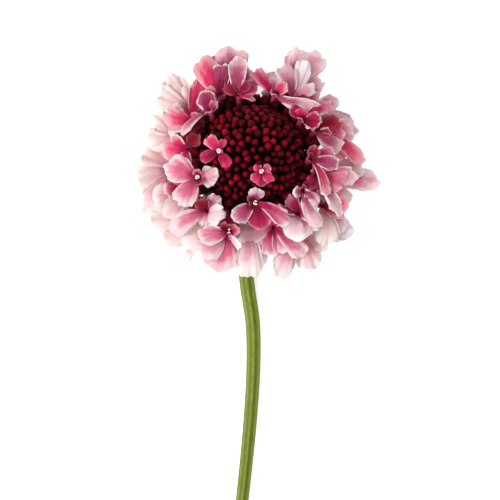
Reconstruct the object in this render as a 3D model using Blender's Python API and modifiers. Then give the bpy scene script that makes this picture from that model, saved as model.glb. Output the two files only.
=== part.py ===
"""A cut scabiosa, the pincushion flower, laid face up on a table with its stem along the surface.

Every piece is a solid of its own: the stem, the pincushion of closed florets on its receptacle,
the green bracts behind it, and each open floret. Sizes are in millimetres, and MM turns them into
metres where a mesh or a curve is made. Z is up and the table is z = 0.

The head has a frame of its own. Its origin is the middle of the receptacle, its Z is the flower's
axis, which leans towards +Y by HEAD_TILT, and azimuths turn round that axis from +X.
"""

import math

import bmesh
import bpy
from mathutils import Matrix, Vector

MM = 0.001
MERGE_DISTANCE = 0.00001

# How the head lies: its lean towards +Y, and the height of its middle over the table.
HEAD_TILT = 17.0
HEAD_HEIGHT = 13.6
GAP = 0.3

# Pincushion: the dome that carries the closed florets, and the receptacle below it.
DOME_RADIUS = 10.6
DOME_HEIGHT = 8.8
DOME_CENTRE = 4.0
DOME_STEPS = 6
RIM_LEVEL = 4.6
WAIST_RADIUS = 9.5
WAIST_TOP = 4.3
WAIST_FOOT = -1.4
UNDER_RADIUS = 6.2
UNDER_LEVEL = -2.6
BASE_RADIUS = 2.8
BASE_LEVEL = -3.2
SIDES = 20

# Closed florets: crowded buds on a golden-angle spiral, the outermost ones a little larger.
BUD_COUNT = 100
BUD_RADIUS = 1.15
BUD_HALF_LENGTH = 1.5
BUD_STAND = 1.2
BUD_RIM_GROWTH = 0.15
BUD_LAST_ANGLE = 74.0
BUD_CLEARING = 1.75
GOLDEN_ANGLE = math.pi * (3.0 - math.sqrt(5.0))

# Stem: how it tapers, and its line from the neck to the cut, as x, y from the head's middle and the
# height of its underside over the table.
STEM_NECK_RADIUS = 1.95
STEM_CUT_RADIUS = 1.4
STEM_LENGTH = 126.0
STEM_POINTS = 34
STEM_SIDE_ROWS = 3
NECK_LENGTH = 3.0
STEM_LINE = [
    (-0.2, -4.2, 3.2),
    (-0.9, -9.5, 1.0),
    (-1.4, -18.0, 0.1),
    (-1.4, -29.0, 0.0),
    (0.2, -41.0, 0.0),
    (0.3, -53.0, 0.0),
    (-0.6, -67.0, 0.0),
    (-2.3, -84.0, 0.0),
    (-4.5, -104.0, 0.0),
    (-6.6, -126.0, 0.0),
]

# Bracts: the green leaflets behind the head.
BRACT_COUNT = 9
BRACT_FOOT = 4.6
BRACT_LENGTH = 10.5
BRACT_WIDTH = 2.8
BRACT_DROOP = 3.2
BRACT_KEEL = 0.35
BRACT_THICKNESS = 0.5
BRACT_STATIONS = 5

# Corolla of an open floret.
PETAL_THICKNESS = 0.45
LOBES = 5
SINUS_DEPTH = 0.4
SHOULDER_TURN = 21.0 / 360.0
SHOULDER_REACH = 0.9
LOBE_CURVE = 12.0
TUBE_BEND = 0.4
TUBE_ENTRY = 2.4

# Each row of florets, in the head's frame: where its tubes start and where its throats sit, as
# (radius, height), how far a tube runs outwards first, the radius of tube and throat, the length of
# the outward, side and inner lobes and how steeply each rises, and the roll that laps neighbours.
ROWS = {
    "low": {
        "foot": (9.85, -0.6), "throat": (17.8, -1.2), "run": 3.4, "tube": 0.8, "mouth": 1.5,
        "lobes": (12.0, 6.2, 1.8), "rise": (4, 18, 60), "roll": 13,
    },
    "high": {
        "foot": (9.85, 1.2), "throat": (17.8, 2.8), "run": 3.6, "tube": 0.8, "mouth": 1.5,
        "lobes": (12.0, 6.0, 1.8), "rise": (4, 18, 60), "roll": 13,
    },
    "wide": {
        "foot": (9.85, 3.1), "throat": (16.6, 7.0), "run": 5.0, "tube": 0.8, "mouth": 1.4,
        "lobes": (9.0, 4.8, 2.4), "rise": (4, 20, 60), "roll": 11,
    },
    "near": {
        "foot": (9.85, 3.1), "throat": (16.0, 10.4), "run": 5.0, "tube": 0.8, "mouth": 1.4,
        "lobes": (7.0, 4.4, 2.8), "rise": (8, 24, 55), "roll": 11,
    },
    "disc": {
        "foot": (7.2, 11.1), "throat": (9.2, 14.0), "run": 0.8, "tube": 0.5, "mouth": 0.9,
        "lobes": (2.6, 2.4, 2.2), "rise": (16, 22, 30), "roll": 0,
    },
}

# Each open floret: azimuth, row, size of its lobes, lean of its face away from the axis.
FLORETS = [
    (-8, "low", 1.12, 6),
    (43, "low", 0.95, 38),
    (97, "low", 0.95, 22),
    (136, "low", 1.00, 34),
    (186, "low", 1.00, 8),
    (229, "low", 1.00, 8),
    (268, "low", 0.96, 8),
    (304, "low", 1.02, 8),
    (20, "high", 0.90, 6),
    (60, "high", 1.05, 10),
    (108, "high", 1.00, 10),
    (161, "high", 0.92, 8),
    (207, "high", 1.00, 6),
    (247, "high", 0.95, 6),
    (286, "high", 1.00, 6),
    (328, "high", 1.02, 6),
    (20, "wide", 1.00, 12),
    (66, "wide", 0.90, 14),
    (118, "wide", 0.90, 14),
    (157, "wide", 1.00, 12),
    (186, "wide", 0.90, 12),
    (232, "wide", 1.00, 12),
    (256, "wide", 0.75, 12),
    (297, "wide", 1.00, 12),
    (338, "wide", 1.05, 12),
    (40, "near", 0.75, 14),
    (80, "near", 0.75, 14),
    (102, "near", 0.80, 14),
    (138, "near", 0.80, 14),
    (209, "near", 1.10, 12),
    (275, "near", 1.05, 10),
    (317, "near", 0.90, 14),
    (359, "near", 0.95, 14),
    (186, "disc", 1.00, 36),
    (288, "disc", 1.00, 36),
]

NODE_NAMES = {
    "low": "ray_floret_low",
    "high": "ray_floret_high",
    "wide": "inner_floret_low",
    "near": "inner_floret_high",
    "disc": "disc_floret",
}

PETAL_PINK = (0.78, 0.30, 0.42)
BUD_CRIMSON = (0.28, 0.01, 0.04)
LEAF_GREEN = (0.25, 0.38, 0.10)
STEM_GREEN = (0.36, 0.46, 0.13)


def material(name, colour, roughness):
    """A matt, non-metallic Principled material."""
    made = bpy.data.materials.new(name)
    made.use_nodes = True
    shader = made.node_tree.nodes["Principled BSDF"]
    shader.inputs["Base Color"].default_value = (*colour, 1.0)
    shader.inputs["Roughness"].default_value = roughness
    shader.inputs["Metallic"].default_value = 0.0
    made.diffuse_color = (*colour, 1.0)
    return made


def add_object(name, data, finish, collection, parent):
    """Links an object of this data to the collection, with its material and its parent."""
    obj = bpy.data.objects.new(name, data)
    data.materials.append(finish)
    collection.objects.link(obj)
    obj.parent = parent
    return obj


def mesh_of(name, points, faces):
    """A mesh from points in millimetres."""
    made = bpy.data.meshes.new(name)
    made.from_pydata([Vector(p) * MM for p in points], [], faces)
    return made


def turned(name, profile, steps, finish, collection, parent):
    """A body of revolution about Z: the profile runs down its outer side, from axis to axis."""
    edges = [(i, i + 1) for i in range(len(profile) - 1)]
    data = bpy.data.meshes.new(name)
    data.from_pydata([Vector((r, 0.0, z)) * MM for r, z in profile], edges, [])
    obj = add_object(name, data, finish, collection, parent)
    screw = obj.modifiers.new("turn", "SCREW")
    screw.steps = steps
    screw.render_steps = steps
    screw.use_merge_vertices = True
    screw.merge_threshold = MERGE_DISTANCE
    screw.use_smooth_shade = True
    return obj


def pincushion_outline():
    """Half the upright outline: over the dome, in to the waist, and down to the flat neck."""
    arc = [math.pi / 2 * i / DOME_STEPS for i in range(DOME_STEPS)]
    dome = [(DOME_RADIUS * math.sin(a), DOME_CENTRE + DOME_HEIGHT * math.cos(a)) for a in arc]
    waist = [(DOME_RADIUS, RIM_LEVEL), (WAIST_RADIUS, WAIST_TOP), (WAIST_RADIUS, WAIST_FOOT)]
    under = [(UNDER_RADIUS, UNDER_LEVEL), (BASE_RADIUS, BASE_LEVEL), (0.0, BASE_LEVEL)]
    return dome + waist + under


def opened_places():
    """Base points of the florets that stand open on the dome, where closed ones make room."""
    radius, level = ROWS["disc"]["foot"]
    for azimuth, row, _size, _lean in FLORETS:
        if row == "disc":
            turn = math.radians(azimuth)
            yield Vector((radius * math.cos(turn), radius * math.sin(turn), level))


def bud_places():
    """Base point, outward direction and size of each closed floret on the dome."""
    spread = 1.0 - math.cos(math.radians(BUD_LAST_ANGLE))
    opened = list(opened_places())
    for i in range(BUD_COUNT):
        share = (i + 0.5) / BUD_COUNT
        cosine = 1.0 - spread * share
        sine = math.sqrt(1.0 - cosine * cosine)
        turn = GOLDEN_ANGLE * i
        x, y = sine * math.cos(turn), sine * math.sin(turn)
        base = Vector((DOME_RADIUS * x, DOME_RADIUS * y, DOME_CENTRE + DOME_HEIGHT * cosine))
        outward = Vector((x / DOME_RADIUS, y / DOME_RADIUS, cosine / DOME_HEIGHT)).normalized()
        if all((base - place).length > BUD_CLEARING for place in opened):
            yield base, outward, 1.0 + BUD_RIM_GROWTH * share


def make_pincushion(finish, collection, cutters, head):
    """The receptacle with all its closed florets, grown together as one body."""
    pincushion = turned("pincushion", pincushion_outline(), SIDES, finish, collection, head)
    mesh = bmesh.new()
    for base, outward, size in bud_places():
        place = Matrix.Translation((base + outward * BUD_STAND) * MM)
        turn = outward.to_track_quat("Z", "Y").to_matrix().to_4x4()
        wide, long = BUD_RADIUS * size * MM, BUD_HALF_LENGTH * size * MM
        shape = place @ turn @ Matrix.Diagonal((wide, wide, long, 1.0))
        bmesh.ops.create_icosphere(mesh, subdivisions=1, radius=1.0, matrix=shape)
    data = bpy.data.meshes.new("closed_florets")
    mesh.to_mesh(data)
    mesh.free()
    buds = add_object("closed_florets", data, finish, cutters, head)
    buds.hide_render = True
    buds.display_type = "WIRE"
    union = pincushion.modifiers.new("florets", "BOOLEAN")
    union.operation = "UNION"
    union.object = buds
    union.use_self = True
    return pincushion


def smooth_line(points, count):
    """Evenly stepped points on the Catmull-Rom curve through the given ones."""
    first = points[0] * 2 - points[1]
    last = points[-1] * 2 - points[-2]
    ends = [first, *points, last]
    spans = len(points) - 1
    line = []
    for i in range(count):
        along = spans * i / (count - 1)
        k = min(int(along), spans - 1)
        t = along - k
        a, b, c, d = ends[k : k + 4]
        line.append(
            0.5 * (2 * b + (c - a) * t + (2 * a - 5 * b + 4 * c - d) * t**2 + (3 * b - a - 3 * c + d) * t**3)
        )
    return line


def stem_radius(share):
    """The stem's radius at this share of its length."""
    return STEM_NECK_RADIUS + (STEM_CUT_RADIUS - STEM_NECK_RADIUS) * share


def stem_route():
    """The stem's line from the head's middle: down from the neck, round the bend, along the table."""
    tilt = math.radians(HEAD_TILT)
    axis = Vector((0.0, math.sin(tilt), math.cos(tilt)))
    top = axis * (BASE_LEVEL - GAP)
    line = [top, top - axis * NECK_LENGTH]
    for x, y, lift in STEM_LINE:
        line.append(Vector((x, y, lift + stem_radius(-y / STEM_LENGTH) - HEAD_HEIGHT)))
    return line


def make_stem(finish, collection, parent):
    """A tapering tube along the route, cut square at its far end."""
    line = smooth_line(stem_route(), STEM_POINTS)
    data = bpy.data.curves.new("stem", "CURVE")
    data.dimensions = "3D"
    data.bevel_depth = STEM_NECK_RADIUS * MM
    data.bevel_resolution = STEM_SIDE_ROWS
    data.use_fill_caps = True
    spline = data.splines.new("POLY")
    spline.points.add(len(line) - 1)
    for i, (point, at) in enumerate(zip(spline.points, line)):
        point.co = (*(at * MM), 1.0)
        point.radius = stem_radius(max(0.0, -at.y / STEM_LENGTH)) / STEM_NECK_RADIUS
    return add_object("stem", data, finish, collection, parent)


def bract_half_width(along):
    """Half the width of a bract: broad at its foot, widest a third along, then to a blunt tip."""
    return BRACT_WIDTH / 2 * (0.55 + 0.45 * math.sin(math.pi * along) ** 0.8) * (1.05 - along**3)


def make_bract(index, finish, collection, head):
    """One green leaflet: a narrow keeled blade that leaves the receptacle and droops outwards."""
    slope = (UNDER_LEVEL - BASE_LEVEL) / (UNDER_RADIUS - BASE_RADIUS)
    start = BASE_LEVEL + slope * (BRACT_FOOT - BASE_RADIUS) - GAP
    points, faces = [], []
    for i in range(BRACT_STATIONS):
        along = i / (BRACT_STATIONS - 1)
        half = bract_half_width(along)
        out = BRACT_FOOT + BRACT_LENGTH * along
        level = start - BRACT_DROOP * along**1.4
        points += [(out, -half, level), (out, 0.0, level - BRACT_KEEL), (out, half, level)]
    for i in range(BRACT_STATIONS - 1):
        for a in (3 * i, 3 * i + 1):
            faces.append((a, a + 1, a + 4, a + 3))
    obj = add_object(f"bract_{index + 1}", mesh_of("bract", points, faces), finish, collection, head)
    obj.rotation_euler = (0.0, 0.0, 2 * math.pi * (index + 0.35) / BRACT_COUNT)
    shell = obj.modifiers.new("thickness", "SOLIDIFY")
    shell.thickness = BRACT_THICKNESS * MM
    shell.offset = 1.0
    return obj


def bezier(a, b, c, d, t):
    """A point on the cubic Bezier curve of four points."""
    s = 1.0 - t
    return a * s**3 + b * (3 * s * s * t) + c * (3 * s * t * t) + d * t**3


def lobe_values(values, at):
    """The value at a lobe number, mixed between the outward, side and inner lobes beside it."""
    outward, side, inner = values
    ring = [outward, side, inner, inner, side]
    k = int(at)
    return ring[k % LOBES] + (ring[(k + 1) % LOBES] - ring[k % LOBES]) * (at - k)


class Corolla:
    """The frame and the sizes of one floret, which gives the points of its five-lobed limb."""

    def __init__(self, row, size, lean):
        tip, roll = math.radians(lean), math.radians(row["roll"])
        flat = Vector((math.sin(tip), 0.0, math.cos(tip)))
        level = Vector((0.0, 1.0, 0.0))
        self.foot = Vector((row["foot"][0], 0.0, row["foot"][1]))
        self.throat = Vector((row["throat"][0], 0.0, row["throat"][1]))
        self.out = Vector((math.cos(tip), 0.0, -math.sin(tip)))
        self.across = level * math.cos(roll) + flat * math.sin(roll)
        self.face = flat * math.cos(roll) - level * math.sin(roll)
        self.run = row["run"]
        self.mouth = row["mouth"]
        self.tube = row["tube"]
        self.lengths = [size * length for length in row["lobes"]]
        self.rises = row["rise"]

    def ring(self, centre, down, radius, count):
        """Points round a centre, in the plane of the given direction and the floret's sideways one."""
        turns = [2 * math.pi * k / count for k in range(count)]
        return [centre + (down * math.cos(t) + self.across * math.sin(t)) * radius for t in turns]

    def tube_ring(self, t):
        """A five-sided section of the tube at t along its curve from the foot to the throat."""
        leave = self.foot + Vector((self.run, 0.0, 0.0))
        arrive = self.throat - (self.face + Vector((0.6, 0.0, 0.0))).normalized() * TUBE_ENTRY
        centre = bezier(self.foot, leave, arrive, self.throat, t)
        ahead = (bezier(self.foot, leave, arrive, self.throat, t + 0.02) - centre).normalized()
        return self.ring(centre, self.across.cross(ahead).normalized(), self.tube, LOBES)

    def limb(self, share, reach, lobe=None):
        """A limb point at this share of a turn: out from the mouth, steep at first and then flatter."""
        at = share * LOBES if lobe is None else lobe
        length, rise = lobe_values(self.lengths, at), lobe_values(self.rises, at)
        turn = 2 * math.pi * share
        heading = self.out * math.cos(turn) + self.across * math.sin(turn)
        steep, flat = math.radians(rise + LOBE_CURVE), math.radians(rise - LOBE_CURVE)
        near, far = length * min(reach, 0.5), length * max(reach - 0.5, 0.0)
        point = self.throat + heading * self.mouth
        point += (heading * math.cos(steep) + self.face * math.sin(steep)) * near
        return point + (heading * math.cos(flat) + self.face * math.sin(flat)) * far


def floret_surface(corolla):
    """Points and faces of a corolla: two tube rings, the mouth, a middle ring and the lobed edge."""
    points = corolla.tube_ring(0.0) + corolla.tube_ring(TUBE_BEND)
    points += corolla.ring(corolla.throat, corolla.out, corolla.mouth, 2 * LOBES)
    for k in range(2 * LOBES):
        points.append(corolla.limb(k / (2 * LOBES), SINUS_DEPTH if k % 2 else 0.5))
    for k in range(LOBES):
        points.append(corolla.limb(k / LOBES, 1.0))
        points.append(corolla.limb(k / LOBES + SHOULDER_TURN, SHOULDER_REACH, k))
        points.append(corolla.limb((k + 0.5) / LOBES, 0.5))
        points.append(corolla.limb((k + 1) / LOBES - SHOULDER_TURN, SHOULDER_REACH, k + 1))

    bend, rim, middle, edge = LOBES, 2 * LOBES, 4 * LOBES, 6 * LOBES
    faces = []
    for k in range(LOBES):
        after = (k + 1) % LOBES
        faces.append((k, after, bend + after, bend + k))
        faces.append((bend + k, rim + 2 * k + 1, rim + 2 * k))
        faces.append((bend + k, bend + after, rim + 2 * k + 1))
        faces.append((bend + after, rim + 2 * after, rim + 2 * k + 1))
    for k in range(2 * LOBES):
        after = (k + 1) % (2 * LOBES)
        far = (2 * k + 2) % (4 * LOBES)
        faces.append((rim + k, rim + after, middle + after, middle + k))
        faces.append((middle + k, edge + 2 * k + 1, edge + 2 * k))
        faces.append((middle + k, middle + after, edge + 2 * k + 1))
        faces.append((middle + after, edge + far, edge + 2 * k + 1))
    return points, faces


def make_floret(name, azimuth, row, size, lean, finish, collection, head):
    """An open floret: a thin five-lobed corolla on its tube, turned to its azimuth."""
    points, faces = floret_surface(Corolla(row, size, lean))
    obj = add_object(name, mesh_of(name, points, faces), finish, collection, head)
    obj.rotation_euler = (0.0, 0.0, math.radians(azimuth))
    shell = obj.modifiers.new("thickness", "SOLIDIFY")
    shell.thickness = PETAL_THICKNESS * MM
    shell.offset = -1.0
    return obj


def stand_on_table(root):
    """Moves the whole flower so that its box stands on z = 0 with its middle over the origin."""
    bpy.context.view_layer.update()
    graph = bpy.context.evaluated_depsgraph_get()
    low, high = Vector((1e9,) * 3), Vector((-1e9,) * 3)
    for obj in root.children_recursive:
        if obj.type == "EMPTY" or obj.hide_render:
            continue
        evaluated = obj.evaluated_get(graph)
        shape = evaluated.to_mesh()
        for vertex in shape.vertices:
            at = evaluated.matrix_world @ vertex.co
            low = Vector(map(min, low, at))
            high = Vector(map(max, high, at))
        evaluated.to_mesh_clear()
    root.location = (-(low.x + high.x) / 2, -(low.y + high.y) / 2, -low.z)


def main():
    for obj in list(bpy.data.objects):
        bpy.data.objects.remove(obj)
    flower = bpy.data.collections.new("cut_scabiosa")
    cutters = bpy.data.collections.new("cutters")
    for collection in (flower, cutters):
        bpy.context.scene.collection.children.link(collection)

    root = bpy.data.objects.new("flower_place", None)
    head = bpy.data.objects.new("head_place", None)
    for empty in (root, head):
        flower.objects.link(empty)
    head.parent = root
    head.rotation_euler = (-math.radians(HEAD_TILT), 0.0, 0.0)

    petal = material("petal", PETAL_PINK, 0.6)
    bud = material("bud", BUD_CRIMSON, 0.45)
    leaf = material("leaf", LEAF_GREEN, 0.6)
    stalk = material("stalk", STEM_GREEN, 0.5)

    make_stem(stalk, flower, root)
    make_pincushion(bud, flower, cutters, head)
    for index in range(BRACT_COUNT):
        make_bract(index, leaf, flower, head)
    counts = dict.fromkeys(ROWS, 0)
    for azimuth, row, size, lean in FLORETS:
        counts[row] += 1
        name = f"{NODE_NAMES[row]}_{counts[row]}"
        make_floret(name, azimuth, ROWS[row], size, lean, petal, flower, head)
    stand_on_table(root)


main()
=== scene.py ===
# The finish of the cut scabiosa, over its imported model: frilled florets, crimson dome, bracts and stem.
# Sizes are in millimetres until toRow or the stem's own line turns them into the row's metres.
import math

import bpy
import numpy as np
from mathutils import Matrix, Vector


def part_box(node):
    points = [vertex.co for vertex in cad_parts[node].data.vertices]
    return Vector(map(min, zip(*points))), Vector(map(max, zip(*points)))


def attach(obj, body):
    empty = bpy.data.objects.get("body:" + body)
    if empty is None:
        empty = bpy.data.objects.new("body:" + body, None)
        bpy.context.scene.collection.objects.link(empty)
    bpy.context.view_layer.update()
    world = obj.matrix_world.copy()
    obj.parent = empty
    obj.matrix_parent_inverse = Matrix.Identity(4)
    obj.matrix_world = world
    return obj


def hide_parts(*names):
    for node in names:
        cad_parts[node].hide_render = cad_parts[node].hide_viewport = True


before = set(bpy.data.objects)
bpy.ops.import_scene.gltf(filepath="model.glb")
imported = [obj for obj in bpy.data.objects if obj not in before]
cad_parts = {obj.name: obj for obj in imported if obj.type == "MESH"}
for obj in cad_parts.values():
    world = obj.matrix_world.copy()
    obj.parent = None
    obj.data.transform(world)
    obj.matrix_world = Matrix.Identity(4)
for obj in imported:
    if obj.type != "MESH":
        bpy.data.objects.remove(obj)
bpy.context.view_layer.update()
print("frame loaded:", len(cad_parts), "nodes")

mm = 0.001
body = "root"

head = {
    "tilt": math.radians(17.0),  # lean of the flower's axis towards +Y
    "fromPincushion": (12.6, 9.7, 4.3),  # the head's middle, from the pincushion's lowest corner
}
headPlace = np.array(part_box("pincushion")[0]) + np.array(head["fromPincushion"]) * mm
leanSine, leanCosine = math.sin(head["tilt"]), math.cos(head["tilt"])
# the head's X, Y and Z as directions in the row's frame
headAxes = np.array([[1, 0, 0], [0, leanCosine, -leanSine], [0, leanSine, leanCosine]])


def toRow(points):  # head frame in mm to row frame in metres: turned by the lean, then moved
    return np.asarray(points) @ headAxes * mm + headPlace


def seen(x, y, level):  # the head-frame place at this level that lies at x, y as seen from above
    return np.array([x, (y - level * leanSine) / leanCosine, level])


def unit(vectors):  # each vector divided by its own length
    return vectors / np.linalg.norm(vectors, axis=-1, keepdims=True)


def smooth(x, low, high):  # smoothstep: 0 below low, 1 above high, 3t^2 - 2t^3 between
    t = np.clip((x - low) / (high - low), 0, 1)
    return t * t * (3 - 2 * t)


def fade(x, reach):  # 1 at zero, falling by a factor e over each reach
    return np.exp(-x / reach)


def bell(x, width):  # 1 at zero, falling to both sides as exp(-(x / width)^2)
    return np.exp(-((x / width) ** 2))


def around(count):  # evenly spaced angles of a full turn, without its end
    return np.linspace(0, 2 * np.pi, count, endpoint=False)


def drawn(ranges, rng):  # one random value from each range, drawn in the table's order
    return {key: rng.uniform(*ends) for key, ends in ranges.items()}


def bezier(a, b, c, d, t):  # cubic Bezier curve of four points, at each t
    t = np.asarray(t)[:, None]
    return a * (1 - t) ** 3 + b * 3 * t * (1 - t) ** 2 + c * 3 * t**2 * (1 - t) + d * t**3


def sweep(path, radii, cols, side, wave=None):
    # circles of the given radii square to a path, times wave of the angle; side is never along the path
    path, radii = np.asarray(path, float), np.broadcast_to(radii, len(path))
    ahead = unit(np.gradient(path, axis=0))
    across = unit(side - ahead * (ahead @ side)[:, None])
    up = np.cross(ahead, across)
    turn = around(cols)
    reach = radii[:, None] * (1 if wave is None else wave(turn)[None, :])
    ring = across[:, None] * np.cos(turn)[None, :, None] + up[:, None] * np.sin(turn)[None, :, None]
    return path[:, None] + ring * reach[..., None]


def gridFaces(rows, cols, wrap=False, turned=False):  # quads between the neighbours of a rows x cols grid
    i, j = np.meshgrid(np.arange(rows - 1), np.arange(cols if wrap else cols - 1), indexing="ij")
    k = (j + 1) % cols
    faces = np.stack([i * cols + j, (i + 1) * cols + j, (i + 1) * cols + k, i * cols + k], -1).reshape(-1, 4)
    return faces[:, ::-1] if turned else faces


def part(points, faces, look=0, uv=None, **values):  # one surface of a piece, with its point values
    points = np.asarray(points, float).reshape(-1, 3)
    uv = np.zeros((len(points), 2)) if uv is None else np.asarray(uv, float).reshape(-1, 2)
    for key, found in values.items():
        found = np.asarray(found, float)
        size = (len(points), 3) if found.shape == (3,) else len(points)
        values[key] = np.broadcast_to(found if found.shape == (3,) else found.reshape(-1), size)
    faces = faces if isinstance(faces, list) else [tuple(f) for f in faces.tolist()]
    return {"points": points, "faces": faces, "look": look, "uv": uv, "values": values}


def closed(grids, turned=False):
    # each grid of the stack, wrapped round, gets a pole in the middle of its first and of its last ring,
    # and a fan to each; turned faces point outwards where the rows run along a path
    count, rows, cols = grids.shape[:3]
    points = np.concatenate([grids.reshape(count, -1, 3), grids[:, [0, -1]].mean(2)], 1)
    ring, last, pole = np.arange(cols), (rows - 1) * cols, np.full(cols, rows * cols)
    after = np.roll(ring, -1)
    fans = [[*pole, *(pole + 1)], [*ring, *(last + after)], [*after, *(last + ring)]]
    faces = []
    for kind in (gridFaces(rows, cols, wrap=True), np.array(fans).T):
        kind = kind[:, ::-1] if turned else kind
        every = kind[None] + (np.arange(count) * points.shape[1])[:, None, None]
        faces += [tuple(f) for f in every.reshape(-1, kind.shape[1]).tolist()]
    return points, faces


def closedPart(grids, tops, look, turned=False):  # closed grids whose poles take the nearest top value
    points, faces = closed(grids, turned)
    tops = np.broadcast_to(tops, grids.shape[:3]).reshape(len(grids), -1)
    return part(toRow(points), faces, look, top=np.concatenate([tops, tops[:, :1], tops[:, -1:]], 1))


def buildPiece(name, parts, materials, nodes, thickness=0.0):
    # joins the parts into one mesh, with its materials, UV map and point values, and rides it on the body
    points = np.vstack([p["points"] for p in parts])
    starts = np.cumsum([0] + [len(p["points"]) for p in parts[:-1]])
    faces = [tuple(i + s for i in f) for p, s in zip(parts, starts.tolist()) for f in p["faces"]]
    mesh = bpy.data.meshes.new(name)
    mesh.from_pydata(points.tolist(), [], faces)
    mesh.update()
    for material in materials:
        mesh.materials.append(material)
    lookOfFace = np.repeat([p["look"] for p in parts], [len(p["faces"]) for p in parts])
    mesh.polygons.foreach_set("material_index", lookOfFace.astype(np.int32))
    mesh.polygons.foreach_set("use_smooth", np.ones(len(faces), bool))
    corner = np.empty(len(mesh.loops), np.int32)
    mesh.loops.foreach_get("vertex_index", corner)
    uv = np.vstack([p["uv"] for p in parts])[corner]
    mesh.uv_layers.new(name="surface").data.foreach_set("uv", uv.reshape(-1).astype(np.float32))
    for key in sorted({k for p in parts for k in p["values"]}):
        wide = any(p["values"].get(key, np.zeros(1)).ndim == 2 for p in parts)
        shape = (3,) if wide else ()
        data = np.concatenate([p["values"].get(key, np.zeros((len(p["points"]), *shape))) for p in parts])
        made = mesh.attributes.new(key, "FLOAT_VECTOR" if wide else "FLOAT", "POINT")
        made.data.foreach_set("vector" if wide else "value", data.reshape(-1).astype(np.float32))
    obj = bpy.data.objects.new(name, mesh)
    bpy.context.scene.collection.objects.link(obj)
    if thickness:
        shell = obj.modifiers.new("thickness", "SOLIDIFY")
        shell.thickness = thickness * mm
        shell.offset = 0.0
    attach(obj, body)
    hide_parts(*nodes)


def addNode(tree, kind, inputs=None, **settings):
    # a node with its settings, and values or links on its inputs
    made = tree.nodes.new(kind)
    for key, found in settings.items():
        setattr(made, key, found)
    for key, found in (inputs or {}).items():
        if isinstance(found, bpy.types.NodeSocket):
            tree.links.new(found, made.inputs[key])
        else:
            made.inputs[key].default_value = found
    return made


def maths(tree, operation, a, b=0.0, clamp=False):  # one operation on two sockets or values
    return addNode(tree, "ShaderNodeMath", {0: a, 1: b}, operation=operation, use_clamp=clamp).outputs[0]


def swing(tree, field, amount):  # a noise field moved down by half, so that it lies round 0, times amount
    return maths(tree, "MULTIPLY", maths(tree, "SUBTRACT", field, 0.5), amount)


def value(tree, name):  # a point value of the piece, by its name
    return addNode(tree, "ShaderNodeAttribute", attribute_name=name).outputs["Fac"]


def tint(tree, name):  # a point colour of the piece, by its name
    return addNode(tree, "ShaderNodeAttribute", attribute_name=name).outputs["Color"]


def eased(tree, factor, low, high):  # 0 at low, 1 at high, smoothstep between
    found = {"Value": factor, "From Min": low, "From Max": high}
    return addNode(tree, "ShaderNodeMapRange", found, interpolation_type="SMOOTHSTEP").outputs["Result"]


def noise(tree, vector, scale, detail, roughness, stretch=None):  # fractal noise, stretched by a Mapping
    if stretch:
        vector = addNode(tree, "ShaderNodeMapping", {"Vector": vector, "Scale": stretch}).outputs[0]
    found = {"Vector": vector, "Scale": scale, "Detail": detail, "Roughness": roughness}
    return addNode(tree, "ShaderNodeTexNoise", found).outputs["Fac"]


def ramp(tree, factor, stops):  # colours at places from 0 to 1
    made = addNode(tree, "ShaderNodeValToRGB", {"Fac": factor})
    marks = made.color_ramp.elements
    for i, (place, colour) in enumerate(stops):
        mark = marks[i] if i < 2 else marks.new(place)
        mark.position = place
        mark.color = (*colour, 1)
    return made.outputs["Color"]


def mixed(tree, factor, a, b):  # colour a at factor 0, b at 1, by the Mix node's colour sockets
    return addNode(tree, "ShaderNodeMix", {"Factor": factor, 6: a, 7: b}, data_type="RGBA").outputs[2]


def bumped(tree, height, strength, distance=0.1):  # a bump of the height, over a distance in mm
    found = {"Height": height, "Strength": strength, "Distance": distance * mm}
    return addNode(tree, "ShaderNodeBump", found).outputs[0]


def newLook(name):  # an empty material and its node tree
    made = bpy.data.materials.new(name)
    made.use_nodes = True
    made.node_tree.nodes.clear()
    return made, made.node_tree


def finishLook(tree, colour, roughness, bump, glow=0.0, **sockets):
    # a Principled surface, with a share of light let through when glow is above 0
    found = {"Base Color": colour, "Roughness": roughness, "Normal": bump, **sockets}
    shader = addNode(tree, "ShaderNodeBsdfPrincipled", found).outputs[0]
    if glow:
        through = addNode(tree, "ShaderNodeBsdfTranslucent", {"Color": colour}).outputs[0]
        shader = addNode(tree, "ShaderNodeMixShader", {0: glow, 1: shader, 2: through}).outputs[0]
    addNode(tree, "ShaderNodeOutputMaterial", {"Surface": shader})


petalPaints = {
    # colours of a lobe at its heart, in its middle and near its margin
    "crimson": ((0.150, 0.000, 0.012), (0.260, 0.001, 0.025), (0.420, 0.040, 0.090)),
    "magenta": ((0.230, 0.001, 0.035), (0.430, 0.010, 0.090), (0.700, 0.260, 0.350)),
    "rose": ((0.400, 0.005, 0.070), (0.680, 0.040, 0.150), (0.820, 0.440, 0.480)),
    "mauve": ((0.240, 0.005, 0.055), (0.430, 0.075, 0.170), (0.760, 0.520, 0.560)),
    "pink": ((0.420, 0.018, 0.100), (0.640, 0.150, 0.260), (0.840, 0.660, 0.670)),
    "blush": ((0.560, 0.090, 0.180), (0.730, 0.350, 0.420), (0.840, 0.730, 0.710)),
    "lilac": ((0.520, 0.090, 0.210), (0.720, 0.400, 0.500), (0.850, 0.760, 0.780)),
    "cream": ((0.660, 0.220, 0.290), (0.790, 0.520, 0.540), (0.850, 0.760, 0.720)),
    "white": ((0.600, 0.180, 0.290), (0.780, 0.560, 0.620), (0.860, 0.810, 0.800)),
}
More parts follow.
